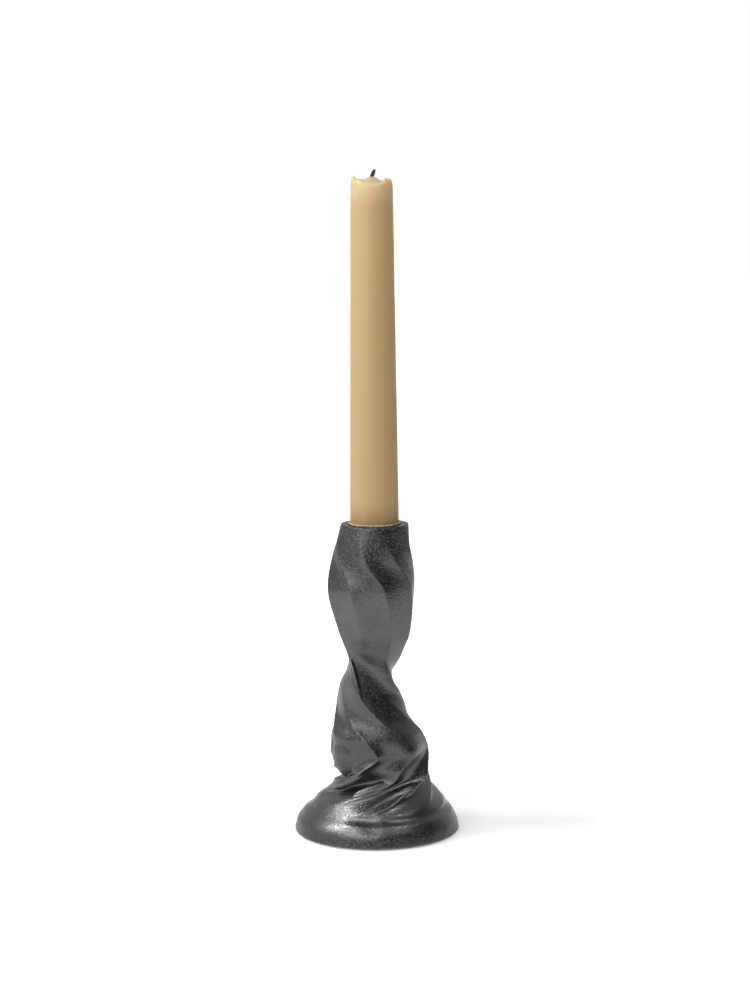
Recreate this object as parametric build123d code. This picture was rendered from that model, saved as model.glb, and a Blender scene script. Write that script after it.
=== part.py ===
from build123d import *
import os
from math import cos, pi, radians, sin
from typing import NamedTuple

# Spiral candle holder with its candle, in millimetres, Z up.
# The origin is at the centre of the underside, where the felt meets the table.
# The front is -Y, and directions are in degrees counter-clockwise from +X.

# Felt under the foot
FELT_RADIUS = 33.0
FELT_THICKNESS = 1.6
FELT_PROUD = 0.4
FELT_CLEARANCE = 0.3

# Cast body: how far each ring stands above the one below it
FOOT_EDGE_RISE = 4.3
FOOT_TOP_RISE = 4.0
DOME_RISE = 4.5
APRON_RISE = 6.0
NECK_RISE = 6.0
FOLD_RISE = 6.0
BELLY_RISE = 6.0
LOBE_RISE = 7.0
SHOULDER_RISE = 9.0
TAPER_RISE = 12.0
WAIST_RISE = 10.0
STEM_RISE = 8.0
CUP_RISE = 8.0
BULB_RISE = 20.0
COLLAR_RISE = 18.0
RIM_RISE = 10.6

# Cast body: radius of each ring's circle through the crests of its main ridges
FOOT_RADIUS = 37.4
FOOT_EDGE_RADIUS = 36.3
FOOT_TOP_RADIUS = 33.8
DOME_RADIUS = 29.9
APRON_RADIUS = 24.7
NECK_RADIUS = 20.2
FOLD_RADIUS = 22.0
BELLY_RADIUS = 21.8
LOBE_RADIUS = 21.0
SHOULDER_RADIUS = 17.5
TAPER_RADIUS = 15.0
WAIST_RADIUS = 12.5
STEM_RADIUS = 14.7
CUP_RADIUS = 17.5
BULB_RADIUS = 20.6
COLLAR_RADIUS = 17.7
RIM_RADIUS = 15.3

# Cast body: ridges and edges
RIDGE_COUNT = 8
RIM_ROUNDING = 0.4
FOOT_ROUNDING = 0.8
ROUND_PULL = 0.55

# Socket in the cast body
SOCKET_DEPTH = 25.0
SOCKET_CLEARANCE = 0.5
MOUTH_CHAMFER = 0.6

# Candle
CANDLE_SHANK_RADIUS = 11.0
CANDLE_TIP_RADIUS = 9.3
CANDLE_STAND = 153.6
CANDLE_BASE_CHAMFER = 1.0
CUP_WALL = 1.3
CUP_EDGE_DROP = 0.5
CUP_DEPTH = 2.2
CUP_FLOOR_RADIUS = 5.0
MOUND_DROP = 0.8
SCOOP_RADIUS = 15.0
SCOOP_OFFSET = 1.0
SCOOP_DROP = 2.9
SCOOP_SLOPE = 10.0

# Wick
WICK_RADIUS = 0.95
WICK_LEAN = 20.0
WICK_BEND_RADIUS = 6.0
WICK_TIP_RUN = 1.7

# Shaved wax round the candle at the mouth
COLLAR_WIDTH = 0.7
COLLAR_BELOW = 0.3
COLLAR_ABOVE = 0.9


class Ring(NamedTuple):
    """One ring of the cast body. Its first, third, fifth and seventh ridges are the main ones."""

    rise: float
    radius: float
    turn: float  # direction of the first ridge
    hollow: float = 0.0  # depth of the flutes below the main crests
    lean: float = 0.0  # how far the ring's centre stands to the right of the axis
    blunt: float = 1.0  # main ridges: 0 is sharp, 1 is round
    blunt_between: float = 1.0  # the ridges between them: 0 is sharp, 1 is round
    spread: float = 0.0  # degrees that the ridges draw away from the first one
    drop: float = 0.0  # how much lower than the main ridges those between them stand
    skew: float = 0.0  # how much each ridge leans over the flute on its right
    tilt: float = 0.0  # how steeply the ring's plane rises to the right


RINGS = [
    Ring(FELT_PROUD + FOOT_ROUNDING, FOOT_RADIUS, turn=-206),
    Ring(FOOT_EDGE_RISE, FOOT_EDGE_RADIUS, turn=-202),
    Ring(FOOT_TOP_RISE, FOOT_TOP_RADIUS, turn=-187, hollow=0.1, lean=0.4),
    Ring(
        DOME_RISE,
        DOME_RADIUS,
        turn=-148,
        hollow=0.8,
        lean=1.1,
        blunt=0.7,
        blunt_between=0.5,
        spread=5,
        skew=0.4,
    ),
    Ring(
        APRON_RISE,
        APRON_RADIUS,
        turn=-114,
        hollow=2.7,
        lean=1.5,
        blunt=0.4,
        blunt_between=0.2,
        spread=6,
        skew=1.6,
    ),
    Ring(
        NECK_RISE,
        NECK_RADIUS,
        turn=-81,
        hollow=3.7,
        lean=4.2,
        blunt=0.2,
        blunt_between=0.1,
        spread=7,
        drop=-1.1,
        skew=1.8,
    ),
    Ring(
        FOLD_RISE,
        FOLD_RADIUS,
        turn=-61,
        hollow=4.0,
        lean=1.2,
        blunt=0.6,
        blunt_between=0.1,
        spread=6,
        drop=-1.2,
        skew=1.8,
    ),
    Ring(
        BELLY_RISE,
        BELLY_RADIUS,
        turn=-43,
        hollow=3.1,
        lean=1.4,
        blunt_between=0.1,
        spread=7,
        drop=-0.6,
        skew=1.2,
    ),
    Ring(LOBE_RISE, LOBE_RADIUS, turn=-51, hollow=2.4, blunt_between=0.3, spread=10, skew=0.3),
    Ring(
        SHOULDER_RISE,
        SHOULDER_RADIUS,
        turn=-79,
        hollow=2.3,
        lean=-1.5,
        blunt=0.2,
        blunt_between=0.6,
        spread=18,
        drop=1.9,
        skew=0.2,
    ),
    Ring(
        TAPER_RISE,
        TAPER_RADIUS,
        turn=-109,
        hollow=1.6,
        lean=-4.0,
        blunt=0.0,
        spread=20,
        drop=3.6,
        tilt=-0.14,
    ),
    Ring(
        WAIST_RISE,
        WAIST_RADIUS,
        turn=-140,
        hollow=1.4,
        lean=-2.4,
        blunt=0.0,
        spread=11,
        drop=3.1,
        skew=-0.2,
        tilt=-0.42,
    ),
    Ring(
        STEM_RISE,
        STEM_RADIUS,
        turn=-154,
        hollow=1.7,
        lean=-1.5,
        blunt=0.1,
        blunt_between=0.8,
        drop=1.8,
        skew=-0.4,
        tilt=-0.28,
    ),
    Ring(
        CUP_RISE,
        CUP_RADIUS,
        turn=-156,
        hollow=1.9,
        lean=-0.6,
        blunt=0.1,
        blunt_between=0.2,
        spread=1,
        drop=0.5,
        skew=-0.1,
        tilt=-0.05,
    ),
    Ring(
        BULB_RISE,
        BULB_RADIUS,
        turn=-162,
        hollow=1.9,
        lean=-1.7,
        blunt=0.2,
        blunt_between=0.2,
        drop=0.2,
        skew=0.2,
    ),
    Ring(
        COLLAR_RISE,
        COLLAR_RADIUS,
        turn=-196,
        hollow=1.2,
        lean=-1.0,
        blunt=0.2,
        blunt_between=0.2,
        skew=0.2,
    ),
    Ring(RIM_RISE, RIM_RADIUS, turn=-204, hollow=0.3),
]

# Heights that several pieces share
ring_heights = [sum(ring.rise for ring in RINGS[: i + 1]) for i in range(len(RINGS))]
rim_height = ring_heights[-1] + RIM_ROUNDING
socket_floor = rim_height - SOCKET_DEPTH
socket_radius = CANDLE_SHANK_RADIUS + SOCKET_CLEARANCE
candle_top = rim_height + CANDLE_STAND
mound_height = candle_top - MOUND_DROP


def rates_at_rings(values):
    """How fast a size changes with height at each ring, on a curve that never overshoots the rings."""
    steps = [(values[i + 1] - values[i]) / RINGS[i + 1].rise for i in range(len(RINGS) - 1)]
    inner = [
        0.0 if before * after <= 0 else 2 * before * after / (before + after)
        for before, after in zip(steps, steps[1:])
    ]
    return [steps[0], *inner, steps[-1]]


def flute_controls(ring):
    """Distance and direction of each crest and of the two handles of the flute after it."""
    pitch = 2 * pi / RIDGE_COUNT
    step = pitch / 3
    # A flute is a cubic curve: its middle is one eighth of each crest and three eighths of each handle.
    crests_share = 2 * ring.radius * cos(pitch / 2)
    sharp = (8 * (ring.radius - ring.hollow) - crests_share) / (6 * cos(step / 2))
    crests = (ring.radius, ring.radius - ring.drop)
    blunts = (ring.blunt, ring.blunt_between)
    sides = [sharp + (crest / cos(step) - sharp) * blunt for crest, blunt in zip(crests, blunts)]
    directions = [
        radians(ring.turn) + pitch * ridge + radians(ring.spread) * sin(pitch * ridge)
        for ridge in range(RIDGE_COUNT + 1)
    ]
    controls = []
    for ridge in range(RIDGE_COUNT):
        kind, next_kind = ridge % 2, (ridge + 1) % 2
        here, there = directions[ridge], directions[ridge + 1]
        third = (there - here) / 3
        controls += [
            (crests[kind], here),
            (sides[kind] - ring.skew, here + third),
            (sides[next_kind] + ring.skew, there - third),
        ]
    return controls


def ring_controls():
    """Control points of each ring in turn: place, change with height, way inwards."""
    polar = [flute_controls(ring) for ring in RINGS]
    distance_rates = [rates_at_rings([distance for distance, _ in column]) for column in zip(*polar)]
    direction_rates = [rates_at_rings([direction for _, direction in column]) for column in zip(*polar)]
    lean_rates = rates_at_rings([ring.lean for ring in RINGS])
    tilt_rates = rates_at_rings([ring.tilt for ring in RINGS])
    rings = []
    for i, ring in enumerate(RINGS):
        centre = Vector(ring.lean, 0, ring_heights[i])
        centre_rate = Vector(lean_rates[i], 0, 1)
        controls = []
        for j, (distance, direction) in enumerate(polar[i]):
            out = Vector(cos(direction), sin(direction))
            along = Vector(-sin(direction), cos(direction))
            reach = out * distance
            reach_rate = out * distance_rates[j][i] + along * distance * direction_rates[j][i]
            lift = Vector(0, 0, ring.tilt * reach.X)
            lift_rate = Vector(0, 0, tilt_rates[i] * reach.X + ring.tilt * reach_rate.X)
            controls.append((centre + reach + lift, centre_rate + reach_rate + lift_rate, -out))
        rings.append(controls)
    return rings


def rounded_column(start, rate, inward, outward, rounding):
    """Control points that carry a side over a rounded edge into a flat end; outward is +1 up or -1 down."""
    end = start + inward * rounding + Vector(0, 0, outward * rounding)
    pull = rounding * ROUND_PULL
    return [start, start + rate * outward * pull, end - inward * pull, end]


def make_twisted_body():
    """Closed body of smooth patches, one for each flute between two rings, with rounded, flat ends."""
    rings = ring_controls()
    flutes = [[3 * k, 3 * k + 1, 3 * k + 2, 3 * (k + 1) % (3 * RIDGE_COUNT)] for k in range(RIDGE_COUNT)]
    bands = []
    for lower, upper, ring in zip(rings, rings[1:], RINGS[1:]):
        third = ring.rise / 3
        bands.append(
            [
                [start, start + start_rate * third, end - end_rate * third, end]
                for (start, start_rate, _), (end, end_rate, _) in zip(lower, upper)
            ]
        )
    ends = [
        [rounded_column(start, rate, inward, outward, rounding) for start, rate, inward in ring]
        for ring, outward, rounding in ((rings[0], -1, FOOT_ROUNDING), (rings[-1], 1, RIM_ROUNDING))
    ]
    faces = []
    for band in bands + ends:
        faces += [Face.make_bezier_surface([band[j] for j in flute]) for flute in flutes]
    for end in ends:
        outline = [Edge.make_bezier(*(end[j][-1] for j in flute)) for flute in flutes]
        faces.append(Face(Wire(outline)))
    return Solid(Shell(faces))


def turned(*edges):
    """Solid of revolution about Z from a closed profile drawn in X and Z."""
    return revolve(make_face(edges), Axis.Z)


def in_profile(*points):
    """Points of a profile, given as radius and height."""
    return [(radius, 0, height) for radius, height in points]


def make_cast_holder():
    """The one-piece casting: twisted ridges, candle socket, and recess for the felt."""
    mouth = socket_radius + MOUTH_CHAMFER
    socket = turned(
        Polyline(
            *in_profile(
                (0, socket_floor),
                (socket_radius, socket_floor),
                (socket_radius, rim_height - MOUTH_CHAMFER),
                (mouth, rim_height),
                (mouth, rim_height + MOUTH_CHAMFER),
                (0, rim_height + MOUTH_CHAMFER),
            ),
            close=True,
        )
    )
    recess = Pos(0, 0, FELT_THICKNESS / 2) * Cylinder(FELT_RADIUS + FELT_CLEARANCE, FELT_THICKNESS)
    return make_twisted_body() - socket - recess


def make_felt_pad():
    """Felt disc, a little thicker than its recess is deep."""
    return Pos(0, 0, FELT_THICKNESS / 2) * Cylinder(FELT_RADIUS, FELT_THICKNESS)


def make_wick():
    """Wick from the candle's base to its charred tip, which leans to the right."""
    lean = radians(WICK_LEAN)
    bend_points = [
        (WICK_BEND_RADIUS * (1 - cos(angle)), 0, mound_height + WICK_BEND_RADIUS * sin(angle))
        for angle in (0, lean / 2, lean)
    ]
    rise = Line((0, 0, socket_floor), bend_points[0])
    bend = ThreePointArc(*bend_points)
    tip_end = Vector(bend_points[2]) + Vector(sin(lean), 0, cos(lean)) * WICK_TIP_RUN
    tip = Line(bend_points[2], tip_end)
    section = Pos(0, 0, socket_floor) * Circle(WICK_RADIUS)
    stem = sweep(section, path=Wire([rise, bend, tip]))
    return stem + Pos(tip_end) * Sphere(WICK_RADIUS)


def make_candle():
    """Tapered candle with a melted cup at its top, and a bore that the wick fills."""
    cup_edge = candle_top - CUP_EDGE_DROP
    inner_edge = CANDLE_TIP_RADIUS - CUP_WALL
    cup_floor = candle_top - CUP_DEPTH
    outside = Polyline(
        *in_profile(
            (WICK_RADIUS, mound_height),
            (WICK_RADIUS, socket_floor),
            (CANDLE_SHANK_RADIUS - CANDLE_BASE_CHAMFER, socket_floor),
            (CANDLE_SHANK_RADIUS, socket_floor + CANDLE_BASE_CHAMFER),
            (CANDLE_SHANK_RADIUS, rim_height),
            (CANDLE_TIP_RADIUS, cup_edge),
        )
    )
    lip = ThreePointArc(
        *in_profile(
            (CANDLE_TIP_RADIUS, cup_edge),
            (CANDLE_TIP_RADIUS - CUP_WALL / 2, candle_top),
            (inner_edge, cup_edge),
        )
    )
    dish = Bezier(
        *in_profile(
            (inner_edge, cup_edge),
            (inner_edge - CUP_WALL, cup_floor),
            (CUP_FLOOR_RADIUS, cup_floor),
        )
    )
    mound = Bezier(
        *in_profile(
            (CUP_FLOOR_RADIUS, cup_floor),
            (CUP_FLOOR_RADIUS / 2, cup_floor),
            (CUP_FLOOR_RADIUS / 2, mound_height),
            (WICK_RADIUS, mound_height),
        )
    )
    wax = turned(outside, lip, dish, mound)
    # The front of the melted edge has sunk: a round scoop, sloping down towards the front.
    reach = 2 * CANDLE_TIP_RADIUS
    lowest = candle_top - SCOOP_DROP + SCOOP_RADIUS
    front = Pos(SCOOP_OFFSET, -CANDLE_TIP_RADIUS, lowest)
    scoop = front * Rot(X=90 + SCOOP_SLOPE) * Cylinder(SCOOP_RADIUS, reach)
    return wax - scoop


def make_wax_collar():
    """Ring of shaved wax that sits in the mouth's chamfer, close round the candle."""
    low = rim_height - COLLAR_BELOW
    high = rim_height + COLLAR_ABOVE
    taper = (CANDLE_SHANK_RADIUS - CANDLE_TIP_RADIUS) / (CANDLE_STAND - CUP_EDGE_DROP)
    high_radius = CANDLE_SHANK_RADIUS - taper * COLLAR_ABOVE
    inside = Polyline(
        *in_profile((high_radius, high), (CANDLE_SHANK_RADIUS, rim_height), (CANDLE_SHANK_RADIUS, low))
    )
    outside = ThreePointArc(
        *in_profile(
            (CANDLE_SHANK_RADIUS, low),
            (CANDLE_SHANK_RADIUS + COLLAR_WIDTH, (low + high) / 2),
            (high_radius, high),
        )
    )
    return turned(inside, outside)


PIECES = {
    "cast_holder": make_cast_holder,
    "felt_pad": make_felt_pad,
    "candle": make_candle,
    "wick": make_wick,
    "wax_collar": make_wax_collar,
}

os.makedirs("parts", exist_ok=True)
for name, make in PIECES.items():
    piece = make()
    export_step(piece, f"parts/{name}.step")
    print(name, round(piece.volume), "mm3")
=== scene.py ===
"""Looks of the spiral candle holder: blackened casting, felt, tapered candle, wick and shaved wax."""

import math

import bpy
import numpy as np
from mathutils import Matrix, Vector


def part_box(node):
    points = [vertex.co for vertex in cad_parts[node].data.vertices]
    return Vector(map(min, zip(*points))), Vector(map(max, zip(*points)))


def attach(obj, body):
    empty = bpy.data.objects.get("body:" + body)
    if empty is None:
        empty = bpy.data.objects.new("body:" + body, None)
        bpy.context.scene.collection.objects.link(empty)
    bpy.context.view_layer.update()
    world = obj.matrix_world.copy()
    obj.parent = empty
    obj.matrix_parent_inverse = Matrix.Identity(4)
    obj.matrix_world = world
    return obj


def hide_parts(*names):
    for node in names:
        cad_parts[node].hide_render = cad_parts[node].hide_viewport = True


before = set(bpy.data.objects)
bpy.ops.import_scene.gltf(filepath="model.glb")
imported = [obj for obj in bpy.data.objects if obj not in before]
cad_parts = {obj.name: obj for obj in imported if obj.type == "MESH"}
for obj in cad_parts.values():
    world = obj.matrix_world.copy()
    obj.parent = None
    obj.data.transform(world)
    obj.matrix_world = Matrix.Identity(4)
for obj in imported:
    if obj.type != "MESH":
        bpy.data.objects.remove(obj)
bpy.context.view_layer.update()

MM = 0.001

# Heights and widths that the frame gives
holder_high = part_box("cast_holder")[1]
candle_low, candle_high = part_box("candle")
wick_low, wick_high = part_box("wick")
felt_low, felt_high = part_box("felt_pad")
collar_low, collar_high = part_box("wax_collar")
mouth_height = holder_high.z
candle_top = candle_high.z
shank_radius = candle_high.x
felt_radius = felt_high.x
felt_thickness = felt_high.z - felt_low.z

# Camera, as the photograph was taken
CAMERA_DISTANCE = 1.0
CAMERA_HEIGHT = 0.2896
CAMERA_SIDE = 0.0003
CAMERA_PITCH = math.radians(7.86)
CAMERA_ROLL = math.radians(-0.5)
IMAGE_HEIGHT = 1000
FOCAL_LENGTH_IN_PIXELS = 2249.3
SENSOR_HEIGHT_MM = 36.0

# Values of the modelling helpers
MERGE_DISTANCE = 0.001 * MM
SMOOTHING = 0.5
CLAY_SEGMENTS = 64
CLAY_RINGS = 40
CLOUD_LAYERS = 2
# Level of the clouds that stays in place: what is under it goes inwards
CLOUD_LEVEL = 0.6

# Casting
SKIN_VOXEL = 0.45 * MM
SKIN_FACES_KEPT = 0.54
RIDGE_SOFTENING = 2
HAND_WAVE_SIZE = 5.0 * MM
HAND_WAVE_DEPTH = 0.10 * MM
SKIN_GRAIN_SIZE = 1.6 * MM
SKIN_GRAIN_DEPTH = 0.05 * MM
CREST_SPREAD = 5
CREST_FULL = 0.16
# Egg of clay that fills out the left lobe
LOBE_PLACE = (-9.0 * MM, -6.0 * MM, 37.0 * MM)
LOBE_RADII = (11.0 * MM, 11.0 * MM, 12.4 * MM)
# Rolls of clay along the folds and below the waist, in millimetres: start, end and half thickness
FOLD_ROLLS = [
    ((-6.0, -19.0, 30.0), (-19.5, -10.0, 21.6), 2.3),
    ((17.5, -14.5, 24.0), (-8.5, -28.6, 13.4), 2.4),
    ((5.0, -18.2, 26.2), (-10.5, -19.7, 20.8), 1.5),
    ((-11.6, -8.0, 81.0), (-7.0, -15.0, 64.0), 1.1),
]
# Places that a thumb has smoothed: place and reach in millimetres, and passes
THUMBED = [
    ((-15.0, -12.0, 36.0), 10.0, 25),
    ((17.5, -22.5, 16.0), 10.0, 150),
    ((2.0, -24.0, 20.0), 11.0, 14),
    ((-20.0, -24.0, 11.0), 13.0, 150),
]
# Hollow in the front of the foot
HOLLOW_PLACE = (-3.0 * MM, -33.0 * MM, 9.5 * MM)
HOLLOW_REACH = 7.0 * MM
HOLLOW_MOVE = (0.0, 0.45 * MM, -0.35 * MM)
# Nub on the edge of the foot
NUB_DIRECTION = math.radians(-111)
NUB_HEIGHT = 1.6 * MM
NUB_REACH = 1.3 * MM
NUB_SIZE = 0.5 * MM

# Candle
CANDLE_SIDES = 128
TAPER_STEPS = 24
TIP_RADIUS = 9.35 * MM
LIP_HEIGHT = 4.2 * MM
LIP_WIDTH = 2.0 * MM
WAX_WAVE_SIZE = 14.0 * MM
WAX_WAVE_DEPTH = 0.16 * MM
# Rings of the rounded base, in millimetres: in from the shank, and up from the base
BASE_RINGS = [(1.0, 0.0), (0.3, 0.3), (0.0, 1.0)]
# Rings over the melted lip, in millimetres: in from the tip's radius, and down from the top
LIP_RINGS = [(0.05, 3.2), (0.15, 2.4), (0.30, 1.7), (0.55, 1.1), (0.90, 0.6), (1.30, 0.3), (1.70, 0.3)]
# Rings down into the cup, in millimetres: in from the lip, and down from the top
CUP_RINGS = [(0.0, 0.5), (0.4, 0.9), (0.9, 1.3), (1.6, 1.6), (2.4, 1.5)]
# Rings up the mound round the wick, in millimetres: radius, and up from the top
MOUND_RINGS = [(4.0, -1.2), (3.2, -0.7), (2.4, -0.1), (1.6, 0.4), (0.9, 0.7), (0.5, 0.7)]
# Radius of the middle of the lip, in millimetres
RIM = (TIP_RADIUS - LIP_WIDTH / 2) / MM
# What the flame did to the lip, in millimetres from the middle of the top: place, reach and move.
# The left stands up as a horn, the front, the front left and the back right have sunk,
# and on the front right there is a bump with a dent beside it.
LIP_PULLS = [
    ((-RIM, -0.5, 0.0), 4.5, (-0.1, 0.0, 1.4)),
    ((1.5, -RIM, 0.0), 8.0, (0.0, 0.0, -2.0)),
    ((-4.5, -RIM, -1.0), 4.0, (0.0, 0.0, -0.5)),
    ((4.0, RIM, 0.0), 5.0, (0.0, 0.0, -0.8)),
    ((6.2, -5.0, -0.8), 2.2, (0.0, 0.0, 0.8)),
    ((7.4, -2.8, -0.3), 1.4, (0.0, 0.0, -0.5)),
]

# Wick
WICK_SIDES = 24
WICK_STRANDS = 3
STRAND_DEPTH = 0.11
WICK_STEPS = 26
WICK_TWIST = math.radians(16)
WICK_LEAN = math.radians(20)
WICK_BEND_DEPTH = 0.8 * MM
WICK_BEND_SHARE = 0.5
WICK_NARROW_FROM = 0.75
WICK_NARROWING = 0.93
WICK_TIP_NARROWING = 0.62

# Shaved wax
CRUMB_RING_RADIUS = 11.3 * MM
CRUMB_RING_THICKNESS = 0.34 * MM
CRUMB_RING_STEPS = 320
CRUMB_RING_SIDES = 14
CRUMB_SIZE = 0.8 * MM
CRUMB_DEPTH = 0.7 * MM

# Felt
FELT_SIDES = 96
FELT_EDGE = 0.35 * MM
FELT_EDGE_STEPS = 3
FELT_VOXEL = 0.5 * MM
FELT_FUZZ_SIZE = 0.9 * MM
FELT_FUZZ_DEPTH = 0.12 * MM
# All of the fuzz goes inwards
FELT_FUZZ_LEVEL = 1.0

# Materials: a scale is in features to the metre, a span is a pair of ends,
# and a bump is its depth and its strength
NOISE_SPAN = (0.3, 0.7)
# Where a mix node keeps its two colours and the colour between them
MIX_FIRST = 6
MIX_SECOND = 7
MIX_RESULT = 2

# Blackened metal
METAL_PATCH_SCALE = 70
METAL_PATCH_SPAN = (0.35, 0.65)
METAL_GRAIN_SCALE = 1100
METAL_FINE_SCALE = 2400
METAL_DARK = (0.078, 0.077, 0.076)
METAL_PATCH = (0.104, 0.102, 0.101)
METAL_PEBBLE = (0.104, 0.102, 0.100)
# Painted reflection: the foot's paler colour stands for the white table and the light from above
METAL_PAINTED_FOOT_LIGHT = (0.165, 0.163, 0.160)
# Painted highlight: the ridges' bright colour is partly wear and partly a painted glint of their edges
METAL_WEAR_AND_GLINT = (0.55, 0.54, 0.52)
METAL_ROUGHNESS = (0.30, 0.40)
PEBBLE_SPAN = (0.48, 0.72)
PEBBLE_BUMP = (0.12 * MM, 0.8)
FINE_BUMP = (0.03 * MM, 0.5)
WEAR_AND_GLINT_CREST_SPAN = (0.35, 1.0)
WEAR_AND_GLINT_GRAIN_SPAN = (0.3, 0.6)
# The foot and the folds above it are painted paler, a painted reflection of the white table and the light
# from above; hands have also made them smoother and less pebbled; all of this less so down the foot's side
FOOT_LIGHT_AND_POLISH_HEIGHT = 36.0 * MM
FOOT_LIGHT_AND_POLISH_MOST = 0.8
HANDLED_POLISH = 0.05
HANDLED_PEBBLES = 0.5
FOOT_SIDE_HEIGHT = 4.0 * MM
FOOT_SIDE_SHARE = 0.1

# Candle wax
WAX_LOW = (0.60, 0.435, 0.225)
WAX_HIGH = (0.62, 0.455, 0.240)
# Painted light: the top is painted paler for light shining through the thin wax of the cup
WAX_PAINTED_TOP_GLOW = (0.70, 0.575, 0.350)
PAINTED_TOP_GLOW_START = 14.0 * MM
PAINTED_TOP_GLOW_FULL = 5.0 * MM
# Painted shade: the wax just above the socket's mouth is painted browner for the shade and dark reflection of
# the metal rim
WAX_PAINTED_MOUTH_SHADE = (0.45, 0.285, 0.115)
PAINTED_MOUTH_SHADE_REACH = 12.0 * MM
WAX_MOTTLE = (0.62, 0.45, 0.22)
WAX_MOTTLE_SCALE = 160
WAX_MOTTLE_STRETCH = (1, 1, 0.35)
WAX_MOTTLE_SPAN = (0.35, 0.75)
WAX_MOTTLE_MOST = 0.35
WAX_CLOUD_SCALE = 45
WAX_ROUGHNESS = (0.36, 0.50)
WAX_GLOW = (1.0, 0.55, 0.25)
WAX_GLOW_DEPTH = 12.0 * MM
WAX_BUMP = (0.05 * MM, 0.35)

# Freshly cut wax
CUT_SCALE = 1200
CUT_SPAN = (0.35, 0.65)
CUT_DARK = (0.62, 0.47, 0.27)
CUT_PALE = (0.90, 0.84, 0.70)
CUT_ROUGHNESS = (0.40, 0.60)
CUT_GLOW = (1.0, 0.6, 0.3)
CUT_GLOW_SHARE = 0.4
CUT_GLOW_DEPTH = 0.5 * MM
CUT_BUMP = (0.05 * MM, 0.4)

# Charred cotton: the char starts below the candle's top and is full above it
CHAR_START = 1.0 * MM
CHAR_FULL = 1.2 * MM
CHAR_DARK = (0.012, 0.009, 0.009)
CHAR_PALE = (0.050, 0.036, 0.034)
SOAKED_DARK = (0.060, 0.036, 0.016)
SOAKED_PALE = (0.150, 0.100, 0.048)
COTTON_SCALE = 2600
COTTON_ROUGHNESS = (0.60, 0.85)
COTTON_BUMP = (0.10 * MM, 0.8)

# Pressed felt
FELT_FIBRE_SCALE = 1500
FELT_FIBRE_CONTRAST = 0.7
FELT_FIBRE_BUMP = (0.20 * MM, 0.8)
FELT_DARK = (0.020, 0.020, 0.021)
FELT_PALE = (0.075, 0.074, 0.073)
FELT_TUFT = (0.030, 0.030, 0.032)
FELT_TUFT_SCALE = 260
FELT_TUFT_SPAN = (0.4, 0.8)
FELT_TUFT_MOST = 0.4
FELT_TUFT_BUMP = (0.30 * MM, 0.4)
FELT_ROUGHNESS = (0.85, 1.0)
FELT_SHEEN = 0.3
FELT_SHEEN_SPREAD = 0.5

# Table: its glow by distance from the holder in metres, and the share of it that shows in mirrors
TABLE_SIZE = 12
TABLE_COLOUR = (0.9, 0.9, 0.9, 1)
TABLE_ROUGHNESS = 0.9
TABLE_GLOW_SPAN = (0.07, 0.22)
TABLE_GLOW = (0.40, 1.0)
TABLE_MIRROR_SPAN = (0.35, 0.80)
TABLE_MIRROR = (1.0, 0.15)
WHITE = (1, 1, 1, 1)

# Room: its light by direction, from the front to the back and from the middle to the left
BEHIND_SPAN = (0.0, 0.75)
BEHIND_LIGHT = (0.05, 0.6)
LEFT_WALL_SPAN = (-0.6, -0.95)
LEFT_WALL_LIGHT = (0.0, 0.8)

# Square soft lights: name, place, aim and side in metres, and power in watts
SOFTBOXES = [
    ("key", (-0.68, -0.07, 0.85), (0, 0, 0.10), 0.30, 4.4),
    ("front_fill", (-0.41, -0.71, 0.67), (0, 0, 0.10), 0.8, 5.2),
    ("right_fill", (0.45, -0.37, 0.90), (0, 0, 0.05), 0.26, 1.4),
]


# Modelling helpers


def only(piece):
    """Selects one piece and makes it the active one."""
    bpy.ops.object.select_all(action="DESELECT")
    piece.select_set(True)
    bpy.context.view_layer.objects.active = piece


def new_piece(name):
    """Names the primitive that was just added and gives it back."""
    piece = bpy.context.object
    piece.name = name
    piece.data.name = name
    return piece


def copy_of_node(node, name):
    """A merged copy of a CAD node's mesh, as a piece of its own."""
    piece = bpy.data.objects.new(name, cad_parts[node].data.copy())
    bpy.context.collection.objects.link(piece)
    piece.data.materials.clear()
    only(piece)
    bpy.ops.object.mode_set(mode="EDIT")
    bpy.ops.mesh.select_all(action="SELECT")
    bpy.ops.mesh.remove_doubles(threshold=MERGE_DISTANCE)
    bpy.ops.object.mode_set(mode="OBJECT")
    return piece


def start_ring(name, sides, radius, height):
    """A filled ring at a height, as the start of a piece that is drawn up from it."""
    bpy.ops.object.select_all(action="DESELECT")
    bpy.ops.mesh.primitive_circle_add(
        vertices=sides, radius=radius, fill_type="NGON", location=(0, 0, height)
    )
    piece = new_piece(name)
    bpy.ops.object.transform_apply(location=True)
    return piece


def apply_modifier(piece, kind, **settings):
    """Adds a modifier with these settings and applies it."""
    only(piece)
    modifier = piece.modifiers.new(kind.lower(), kind)
    for setting, value in settings.items():
        setattr(modifier, setting, value)
    bpy.ops.object.modifier_apply(modifier=modifier.name)


def roughen(piece, name, size, depth, level=CLOUD_LEVEL):
    """Pushes the surface in and out by cloudy noise of this size."""
    clouds = bpy.data.textures.new(name, "CLOUDS")
    clouds.noise_scale = size
    clouds.noise_depth = CLOUD_LAYERS
    apply_modifier(
        piece, "DISPLACE", texture=clouds, texture_coords="LOCAL", strength=depth, mid_level=level
    )


def pull(piece, place, reach, move):
    """Moves the vertex nearest to a place, and with it what lies within reach, as a thumb would."""
    only(piece)
    bpy.ops.object.mode_set(mode="EDIT")
    bpy.ops.mesh.select_mode(type="VERT")
    bpy.ops.mesh.select_all(action="DESELECT")
    bpy.ops.object.mode_set(mode="OBJECT")
    nearest = min(piece.data.vertices, key=lambda vertex: (vertex.co - Vector(place)).length)
    nearest.select = True
    bpy.ops.object.mode_set(mode="EDIT")
    bpy.ops.transform.translate(
        value=move,
        use_proportional_edit=True,
        proportional_edit_falloff="SMOOTH",
        proportional_size=reach,
    )
    bpy.ops.object.mode_set(mode="OBJECT")


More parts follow.
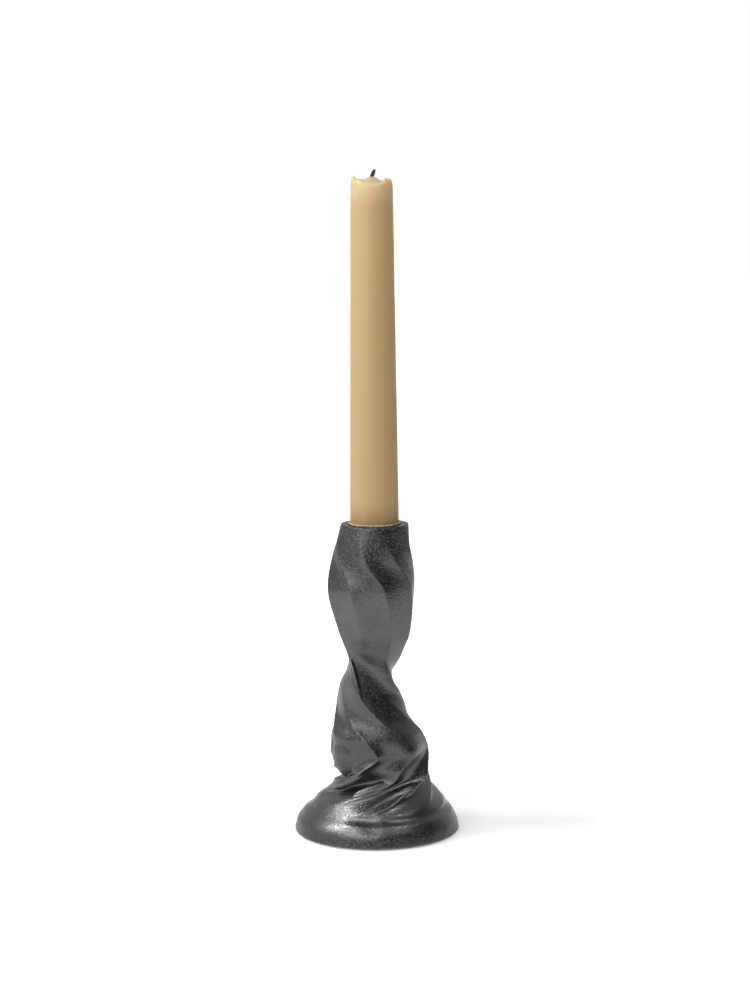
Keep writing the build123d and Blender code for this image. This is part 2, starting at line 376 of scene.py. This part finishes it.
def press_clay(piece, place, radii, along=(0, 0, 1)):
    """Presses an egg of clay onto a piece; the skin that is drawn over both later joins them."""
    bpy.ops.object.select_all(action="DESELECT")
    bpy.ops.mesh.primitive_uv_sphere_add(
        segments=CLAY_SEGMENTS, ring_count=CLAY_RINGS, radius=1.0, location=place
    )
    egg = new_piece("clay")
    egg.scale = radii
    egg.rotation_euler = Vector(along).to_track_quat("Z", "Y").to_euler()
    bpy.ops.object.transform_apply(location=True, rotation=True, scale=True)
    piece.select_set(True)
    bpy.context.view_layer.objects.active = piece
    bpy.ops.object.join()


def press_roll(piece, start, end, thickness):
    """Presses a roll of clay onto a piece, thickest in its middle and pointed at its ends."""
    half_length = (end - start).length / 2
    press_clay(piece, (start + end) / 2, (thickness, thickness, half_length), end - start)


def soften(piece, place, reach, passes):
    """Smooths the surface round a place, less and less out to its reach."""
    group = piece.vertex_groups.new(name="soft")
    for vertex in piece.data.vertices:
        share = (vertex.co - place).length / reach
        if share < 1:
            group.add([vertex.index], (1 - share**2) ** 2, "REPLACE")
    apply_modifier(piece, "SMOOTH", factor=SMOOTHING, iterations=passes, vertex_group=group.name)
    piece.vertex_groups.clear()


def extrude_ring(step, scale, turn, centre):
    """Extrudes the selected ring, moves it, and scales and turns it about its new centre."""
    bpy.ops.mesh.extrude_region_move(TRANSFORM_OT_translate={"value": step})
    bpy.ops.transform.resize(value=(scale, scale, 1), center_override=centre)
    if turn:
        bpy.ops.transform.rotate(value=turn, orient_axis="Z", center_override=centre)


def finish_shell(piece):
    """Turns all faces outwards and shades them smooth."""
    only(piece)
    bpy.ops.object.mode_set(mode="EDIT")
    bpy.ops.mesh.select_all(action="SELECT")
    bpy.ops.mesh.normals_make_consistent(inside=False)
    bpy.ops.object.mode_set(mode="OBJECT")
    bpy.ops.object.shade_smooth()


def settle(piece, body, node, material):
    """Puts a finished piece on its body, in place of its CAD node, with its material."""
    only(piece)
    bpy.ops.object.transform_apply(location=True, rotation=True, scale=True)
    piece.data.materials.clear()
    piece.data.materials.append(material)
    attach(piece, body)
    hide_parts(node)


# Material helpers


def new_material(name):
    """A material with its node tree, its shader and its Object coordinates."""
    material = bpy.data.materials.new(name)
    material.use_nodes = True
    tree = material.node_tree
    shader = tree.nodes["Principled BSDF"]
    place = tree.nodes.new("ShaderNodeTexCoord").outputs["Object"]
    return material, tree, shader, place


def set_inputs(node, **values):
    """Sets input sockets by name; an underscore stands for a space."""
    for name, value in values.items():
        node.inputs[name.replace("_", " ")].default_value = value


def axes_of(tree, place):
    """The X, Y and Z of a place or a direction."""
    node = tree.nodes.new("ShaderNodeSeparateXYZ")
    tree.links.new(place, node.inputs["Vector"])
    return node.outputs


def noise(tree, place, scale, detail=3.0, roughness=0.55, stretch=None):
    """Noise between 0 and 1 at a place, with features of about one over the scale, in metres."""
    if stretch:
        mapping = tree.nodes.new("ShaderNodeMapping")
        set_inputs(mapping, Scale=stretch)
        tree.links.new(place, mapping.inputs["Vector"])
        place = mapping.outputs["Vector"]
    node = tree.nodes.new("ShaderNodeTexNoise")
    set_inputs(node, Scale=scale, Detail=detail, Roughness=roughness)
    tree.links.new(place, node.inputs["Vector"])
    return node.outputs["Fac"]


def remap(tree, value, span, to=(0.0, 1.0)):
    """Stretches a value from one span to another, held inside it, with soft ends."""
    node = tree.nodes.new("ShaderNodeMapRange")
    node.interpolation_type = "SMOOTHSTEP"
    set_inputs(node, From_Min=span[0], From_Max=span[1], To_Min=to[0], To_Max=to[1])
    tree.links.new(value, node.inputs["Value"])
    return node.outputs["Result"]


def calculate(tree, operation, first, second):
    """A sum, product or other operation on two values, of which the second may be a number."""
    node = tree.nodes.new("ShaderNodeMath")
    node.operation = operation
    tree.links.new(first, node.inputs[0])
    if isinstance(second, (int, float)):
        node.inputs[1].default_value = second
    else:
        tree.links.new(second, node.inputs[1])
    return node.outputs["Value"]


def blend_colours(tree, amount, first, second):
    """Colour between two, each of which is a colour or a socket."""
    node = tree.nodes.new("ShaderNodeMix")
    node.data_type = "RGBA"
    tree.links.new(amount, node.inputs["Factor"])
    for index, colour in ((MIX_FIRST, first), (MIX_SECOND, second)):
        if isinstance(colour, tuple):
            node.inputs[index].default_value = (*colour, 1.0)
        else:
            tree.links.new(colour, node.inputs[index])
    return node.outputs[MIX_RESULT]


def dress(tree, shader, colour, roughness):
    """Gives the shader its colour and its roughness."""
    tree.links.new(colour, shader.inputs["Base Color"])
    tree.links.new(roughness, shader.inputs["Roughness"])


def add_bump(tree, shader, layers):
    """Stacks bump layers, each a height, a depth in metres and a strength, onto the shader."""
    normal = None
    for height, depth, strength in layers:
        node = tree.nodes.new("ShaderNodeBump")
        set_inputs(node, Strength=strength, Distance=depth)
        tree.links.new(height, node.inputs["Height"])
        if normal:
            tree.links.new(normal, node.inputs["Normal"])
        normal = node.outputs["Normal"]
    tree.links.new(normal, shader.inputs["Normal"])


# Materials


def blackened_metal():
    """Blackened, waxed cast metal: a pebbled skin, ridges worn and painted with a bright glint, and a foot
    painted paler for the table's reflection and the light from above, and smoothed by hands.
    """
    material, tree, shader, place = new_material("blackened_cast_metal")
    crest = tree.nodes.new("ShaderNodeAttribute")
    crest.attribute_name = "crest"
    patches = noise(tree, place, METAL_PATCH_SCALE, detail=4)
    grain = noise(tree, place, METAL_GRAIN_SCALE, detail=2, roughness=0.5)
    fine = noise(tree, place, METAL_FINE_SCALE, detail=2)
    pebbles = remap(tree, grain, PEBBLE_SPAN)
    # Painted highlight on the ridges, partly wear: paler colour where the surface bends outwards
    ridge_wear_and_glint = remap(tree, crest.outputs["Fac"], WEAR_AND_GLINT_CREST_SPAN)
    ridge_wear_and_glint = calculate(tree, "MULTIPLY", ridge_wear_and_glint, remap(tree, grain, WEAR_AND_GLINT_GRAIN_SPAN))
    height = axes_of(tree, place)["Z"]
    # Painted light: the foot and folds are painted paler for the table's reflection and the light from above;
    # the same mask makes them smoother and less pebbled
    painted_foot_light_and_polish = remap(tree, height, (FOOT_LIGHT_AND_POLISH_HEIGHT, FOOT_LIGHT_AND_POLISH_HEIGHT / 2), (0.0, FOOT_LIGHT_AND_POLISH_MOST))
    above_side = remap(tree, height, (FOOT_SIDE_HEIGHT, FOOT_SIDE_HEIGHT * 2), (FOOT_SIDE_SHARE, 1.0))
    painted_foot_light_and_polish = calculate(tree, "MULTIPLY", painted_foot_light_and_polish, above_side)
    colour = blend_colours(tree, remap(tree, patches, METAL_PATCH_SPAN), METAL_DARK, METAL_PATCH)
    colour = blend_colours(tree, pebbles, colour, METAL_PEBBLE)
    colour = blend_colours(tree, painted_foot_light_and_polish, colour, METAL_PAINTED_FOOT_LIGHT)
    colour = blend_colours(tree, ridge_wear_and_glint, colour, METAL_WEAR_AND_GLINT)
    polish = calculate(tree, "MULTIPLY", painted_foot_light_and_polish, HANDLED_POLISH)
    roughness = calculate(tree, "SUBTRACT", remap(tree, patches, NOISE_SPAN, METAL_ROUGHNESS), polish)
    dress(tree, shader, colour, roughness)
    set_inputs(shader, Metallic=1.0)
    worn = remap(tree, painted_foot_light_and_polish, (0.0, 1.0), (1.0, HANDLED_PEBBLES))
    pebble_height = calculate(tree, "MULTIPLY", pebbles, worn)
    add_bump(tree, shader, [(pebble_height, *PEBBLE_BUMP), (fine, *FINE_BUMP)])
    return material


def candle_wax():
    """Satin, translucent wax, faintly mottled: painted paler at the top for light shining through the thin
    cup, and painted browner at the mouth for the shade of the metal rim.
    """
    material, tree, shader, place = new_material("candle_wax")
    height = axes_of(tree, place)["Z"]
    up = remap(tree, height, (mouth_height, candle_top))
    # Painted light: paler towards the top, for light shining through the thin cup
    painted_top_glow = remap(tree, height, (candle_top - PAINTED_TOP_GLOW_START, candle_top - PAINTED_TOP_GLOW_FULL))
    # Painted shade: browner near the socket's mouth, for the rim's shade
    painted_mouth_shade = remap(tree, height, (mouth_height, mouth_height + PAINTED_MOUTH_SHADE_REACH), (1.0, 0.0))
    mottle = noise(tree, place, WAX_MOTTLE_SCALE, detail=4, stretch=WAX_MOTTLE_STRETCH)
    mottled = remap(tree, mottle, WAX_MOTTLE_SPAN, (0.0, WAX_MOTTLE_MOST))
    clouds = noise(tree, place, WAX_CLOUD_SCALE)
    colour = blend_colours(tree, up, WAX_LOW, WAX_HIGH)
    colour = blend_colours(tree, painted_top_glow, colour, WAX_PAINTED_TOP_GLOW)
    colour = blend_colours(tree, painted_mouth_shade, colour, WAX_PAINTED_MOUTH_SHADE)
    colour = blend_colours(tree, mottled, colour, WAX_MOTTLE)
    dress(tree, shader, colour, remap(tree, clouds, NOISE_SPAN, WAX_ROUGHNESS))
    set_inputs(shader, Subsurface_Weight=1.0, Subsurface_Radius=WAX_GLOW, Subsurface_Scale=WAX_GLOW_DEPTH)
    add_bump(tree, shader, [(mottle, *WAX_BUMP)])
    return material


def pale_wax():
    """Freshly cut wax, paler than the candle's skin."""
    material, tree, shader, place = new_material("shaved_wax")
    grain = noise(tree, place, CUT_SCALE)
    colour = blend_colours(tree, remap(tree, grain, CUT_SPAN), CUT_DARK, CUT_PALE)
    dress(tree, shader, colour, remap(tree, grain, NOISE_SPAN, CUT_ROUGHNESS))
    set_inputs(shader, Subsurface_Weight=CUT_GLOW_SHARE)
    set_inputs(shader, Subsurface_Radius=CUT_GLOW, Subsurface_Scale=CUT_GLOW_DEPTH)
    add_bump(tree, shader, [(grain, *CUT_BUMP)])
    return material


def charred_cotton():
    """Charred wick: black at the tip, brown where the wax has soaked it."""
    material, tree, shader, place = new_material("charred_cotton")
    height = axes_of(tree, place)["Z"]
    charred = remap(tree, height, (candle_top - CHAR_START, candle_top + CHAR_FULL))
    fibres = noise(tree, place, COTTON_SCALE, detail=4)
    char = blend_colours(tree, fibres, CHAR_DARK, CHAR_PALE)
    soaked = blend_colours(tree, fibres, SOAKED_DARK, SOAKED_PALE)
    colour = blend_colours(tree, charred, soaked, char)
    dress(tree, shader, colour, remap(tree, fibres, NOISE_SPAN, COTTON_ROUGHNESS))
    add_bump(tree, shader, [(fibres, *COTTON_BUMP)])
    return material


def pressed_felt():
    """Dark pressed felt with short fibres."""
    material, tree, shader, place = new_material("pressed_felt")
    fibres = noise(tree, place, FELT_FIBRE_SCALE, detail=5, roughness=FELT_FIBRE_CONTRAST)
    tufts = noise(tree, place, FELT_TUFT_SCALE)
    tufted = remap(tree, tufts, FELT_TUFT_SPAN, (0.0, FELT_TUFT_MOST))
    colour = blend_colours(tree, fibres, FELT_DARK, FELT_PALE)
    colour = blend_colours(tree, tufted, colour, FELT_TUFT)
    dress(tree, shader, colour, remap(tree, fibres, NOISE_SPAN, FELT_ROUGHNESS))
    set_inputs(shader, Sheen_Weight=FELT_SHEEN, Sheen_Roughness=FELT_SHEEN_SPREAD)
    add_bump(tree, shader, [(fibres, *FELT_FIBRE_BUMP), (tufts, *FELT_TUFT_BUMP)])
    return material


# Pieces


def mark_crests(piece):
    """Keeps, for each vertex, how much the surface bends outwards there, as an attribute named crest."""
    mesh = piece.data
    count = len(mesh.vertices)
    places = np.empty(count * 3)
    mesh.vertices.foreach_get("co", places)
    places = places.reshape(count, 3)
    normals = np.empty(count * 3)
    mesh.vertex_normals.foreach_get("vector", normals)
    normals = normals.reshape(count, 3)
    ends = np.empty(len(mesh.edges) * 2, dtype=int)
    mesh.edges.foreach_get("vertices", ends)
    first, second = ends.reshape(-1, 2).T
    along = places[second] - places[first]
    along /= np.linalg.norm(along, axis=1, keepdims=True)
    neighbours = np.bincount(first, minlength=count) + np.bincount(second, minlength=count)

    def mean_over_edges(at_first, at_second):
        total = np.bincount(first, at_first, count) + np.bincount(second, at_second, count)
        return total / np.maximum(neighbours, 1)

    bend = mean_over_edges(-(along * normals[first]).sum(1), (along * normals[second]).sum(1))
    for _ in range(CREST_SPREAD):
        bend = mean_over_edges(bend[second], bend[first])
    crest = mesh.attributes.new("crest", "FLOAT", "POINT")
    crest.data.foreach_set("value", np.clip(bend / CREST_FULL, 0, 1).astype(np.float32))


def make_casting():
    """The casting's skin: the CAD form with clay pressed on, softened, thumbed, and given waves and grain."""
    casting = copy_of_node("cast_holder", "twisted_casting")
    press_clay(casting, LOBE_PLACE, LOBE_RADII)
    for start, end, thickness in FOLD_ROLLS:
        press_roll(casting, Vector(start) * MM, Vector(end) * MM, thickness * MM)
    apply_modifier(casting, "REMESH", mode="VOXEL", voxel_size=SKIN_VOXEL, use_smooth_shade=True)
    apply_modifier(casting, "SMOOTH", factor=SMOOTHING, iterations=RIDGE_SOFTENING)
    apply_modifier(casting, "DECIMATE", ratio=SKIN_FACES_KEPT)
    for place, reach, passes in THUMBED:
        soften(casting, Vector(place) * MM, reach * MM, passes)
    pull(casting, HOLLOW_PLACE, HOLLOW_REACH, HOLLOW_MOVE)
    mark_crests(casting)
    roughen(casting, "hand_waves", HAND_WAVE_SIZE, HAND_WAVE_DEPTH)
    roughen(casting, "skin_grain", SKIN_GRAIN_SIZE, SKIN_GRAIN_DEPTH)
    out = Vector((math.cos(NUB_DIRECTION), math.sin(NUB_DIRECTION), 0))
    edge = out * holder_high.x + Vector((0, 0, NUB_HEIGHT))
    pull(casting, edge, NUB_REACH, out * NUB_SIZE)
    settle(casting, "holder", "cast_holder", blackened_metal())


def make_candle():
    """The candle, drawn up ring by ring from its base, over the melted lip and into the cup."""
    lip = TIP_RADIUS - LIP_WIDTH
    lip_base = candle_top - LIP_HEIGHT
    rings = [(shank_radius - inwards * MM, candle_low.z + up * MM) for inwards, up in BASE_RINGS]
    for step in range(TAPER_STEPS + 1):
        share = step / TAPER_STEPS
        height = mouth_height + (lip_base - mouth_height) * share
        rings.append((shank_radius + (TIP_RADIUS - shank_radius) * share, height))
    rings += [(TIP_RADIUS - inwards * MM, candle_top - down * MM) for inwards, down in LIP_RINGS]
    rings += [(lip - inwards * MM, candle_top - down * MM) for inwards, down in CUP_RINGS]
    rings += [(radius * MM, candle_top + up * MM) for radius, up in MOUND_RINGS]
    candle = start_ring("tapered_candle", CANDLE_SIDES, *rings[0])
    bpy.ops.object.mode_set(mode="EDIT")
    bpy.ops.mesh.select_all(action="SELECT")
    for (radius, height), (next_radius, next_height) in zip(rings, rings[1:]):
        centre = (0, 0, next_height)
        extrude_ring((0, 0, next_height - height), next_radius / radius, 0, centre)
    bpy.ops.object.mode_set(mode="OBJECT")
    finish_shell(candle)
    top = Vector((0, 0, candle_top))
    for place, reach, move in LIP_PULLS:
        pull(candle, top + Vector(place) * MM, reach * MM, Vector(move) * MM)
    roughen(candle, "wax_waves", WAX_WAVE_SIZE, WAX_WAVE_DEPTH)
    settle(candle, "candle", "candle", candle_wax())


def make_wick():
    """The wick, a twisted cord that leans to the right where it leaves the wax."""
    bend_start = candle_top - WICK_BEND_DEPTH
    wick = start_ring("twisted_wick", WICK_SIDES, wick_high.y, wick_low.z)
    for vertex in wick.data.vertices:
        direction = math.atan2(vertex.co.y, vertex.co.x)
        dent = 1 - STRAND_DEPTH * (1 - math.cos(WICK_STRANDS * direction)) / 2
        vertex.co.x *= dent
        vertex.co.y *= dent
    bpy.ops.object.mode_set(mode="EDIT")
    bpy.ops.mesh.select_all(action="SELECT")
    extrude_ring((0, 0, bend_start - wick_low.z), 1, 0, (0, 0, bend_start))
    rise = (wick_high.z - bend_start) / WICK_STEPS
    side = 0.0
    for step in range(1, WICK_STEPS + 1):
        share = step / WICK_STEPS
        lean = WICK_LEAN * min(1.0, share / WICK_BEND_SHARE)
        shift = rise * math.tan(lean)
        side += shift
        centre = (side, 0, bend_start + rise * step)
        narrowing = 1.0 if share < WICK_NARROW_FROM else WICK_NARROWING
        if step == WICK_STEPS:
            narrowing = WICK_TIP_NARROWING
        extrude_ring((shift, 0, rise), narrowing, WICK_TWIST, centre)
    bpy.ops.object.mode_set(mode="OBJECT")
    finish_shell(wick)
    settle(wick, "candle", "wick", charred_cotton())


def make_shaved_wax():
    """The thin, crumbly ring of wax that the socket's mouth shaved off the candle."""
    middle = (collar_low.z + collar_high.z) / 2
    bpy.ops.object.select_all(action="DESELECT")
    bpy.ops.mesh.primitive_torus_add(
        major_radius=CRUMB_RING_RADIUS,
        minor_radius=CRUMB_RING_THICKNESS,
        major_segments=CRUMB_RING_STEPS,
        minor_segments=CRUMB_RING_SIDES,
        location=(0, 0, middle),
    )
    ring = new_piece("shaved_wax")
    bpy.ops.object.transform_apply(location=True)
    roughen(ring, "crumbs", CRUMB_SIZE, CRUMB_DEPTH)
    finish_shell(ring)
    settle(ring, "candle", "wax_collar", pale_wax())


def make_felt():
    """The felt disc: a rounded edge and a fuzzy face."""
    bpy.ops.object.select_all(action="DESELECT")
    bpy.ops.mesh.primitive_cylinder_add(
        vertices=FELT_SIDES,
        radius=felt_radius,
        depth=felt_thickness,
        end_fill_type="TRIFAN",
        location=(0, 0, felt_low.z + felt_thickness / 2),
    )
    felt = new_piece("felt_disc")
    bpy.ops.object.transform_apply(location=True)
    apply_modifier(felt, "BEVEL", width=FELT_EDGE, segments=FELT_EDGE_STEPS, limit_method="ANGLE")
    apply_modifier(felt, "REMESH", mode="VOXEL", voxel_size=FELT_VOXEL, use_smooth_shade=True)
    roughen(felt, "felt_fuzz", FELT_FUZZ_SIZE, FELT_FUZZ_DEPTH, FELT_FUZZ_LEVEL)
    settle(felt, "holder", "felt_pad", pressed_felt())


# Studio


def make_floor():
    """White table that goes on to the horizon and glows for camera and mirrors, less near the holder."""
    bpy.ops.object.select_all(action="DESELECT")
    bpy.ops.mesh.primitive_plane_add(size=TABLE_SIZE)
    floor = new_piece("white_table")
    material, tree, shader, place = new_material("white_table")
    set_inputs(shader, Base_Color=TABLE_COLOUR, Roughness=TABLE_ROUGHNESS, Emission_Color=WHITE)
    light_path = tree.nodes.new("ShaderNodeLightPath")
    length = tree.nodes.new("ShaderNodeVectorMath")
    length.operation = "LENGTH"
    tree.links.new(place, length.inputs[0])
    distance = length.outputs["Value"]
    nearby = remap(tree, distance, TABLE_MIRROR_SPAN, TABLE_MIRROR)
    mirrored = calculate(tree, "MULTIPLY", light_path.outputs["Is Glossy Ray"], nearby)
    seen = calculate(tree, "ADD", mirrored, light_path.outputs["Is Camera Ray"])
    seen = calculate(tree, "ADD", seen, light_path.outputs["Is Transmission Ray"])
    glow = remap(tree, distance, TABLE_GLOW_SPAN, TABLE_GLOW)
    tree.links.new(calculate(tree, "MULTIPLY", seen, glow), shader.inputs["Emission Strength"])
    floor.data.materials.append(material)


def make_room():
    """The room: bright at the back, dim at the front, a left wall for mirrors only; white to the camera."""
    world = bpy.data.worlds.new("studio")
    bpy.context.scene.world = world
    world.use_nodes = True
    tree = world.node_tree
    background = tree.nodes["Background"]
    direction = axes_of(tree, tree.nodes.new("ShaderNodeTexCoord").outputs["Generated"])
    light_path = tree.nodes.new("ShaderNodeLightPath")
    behind = remap(tree, direction["Y"], BEHIND_SPAN, BEHIND_LIGHT)
    left_wall = remap(tree, direction["X"], LEFT_WALL_SPAN, LEFT_WALL_LIGHT)
    mirrored = calculate(tree, "MULTIPLY", left_wall, light_path.outputs["Is Glossy Ray"])
    room = calculate(tree, "MAXIMUM", behind, mirrored)
    seen = calculate(tree, "MAXIMUM", room, light_path.outputs["Is Camera Ray"])
    tree.links.new(seen, background.inputs["Strength"])
    set_inputs(background, Color=WHITE)


def add_softbox(name, place, target, side, power):
    """A square soft light aimed at a point."""
    light = bpy.data.lights.new(name, "AREA")
    light.shape = "SQUARE"
    light.size = side
    light.energy = power
    lamp = bpy.data.objects.new(name, light)
    bpy.context.collection.objects.link(lamp)
    lamp.location = place
    aim = Vector(target) - Vector(place)
    lamp.rotation_euler = aim.to_track_quat("-Z", "Y").to_euler()


def make_camera():
    """The camera at the photograph's place, with its small tilt."""
    camera_data = bpy.data.cameras.new("camera")
    camera_data.sensor_fit = "VERTICAL"
    camera_data.sensor_height = SENSOR_HEIGHT_MM
    camera_data.lens = FOCAL_LENGTH_IN_PIXELS / IMAGE_HEIGHT * SENSOR_HEIGHT_MM
    camera = bpy.data.objects.new("camera", camera_data)
    bpy.context.collection.objects.link(camera)
    place = Matrix.Translation((CAMERA_SIDE, -CAMERA_DISTANCE, CAMERA_HEIGHT))
    pitch = Matrix.Rotation(math.pi / 2 - CAMERA_PITCH, 4, "X")
    roll = Matrix.Rotation(CAMERA_ROLL, 4, "Z")
    camera.matrix_world = place @ pitch @ roll
    bpy.context.scene.camera = camera


make_casting()
make_candle()
make_wick()
make_shaved_wax()
make_felt()
make_floor()
make_room()
for softbox in SOFTBOXES:
    add_softbox(*softbox)
make_camera()
bpy.context.scene.view_settings.view_transform = "Standard"
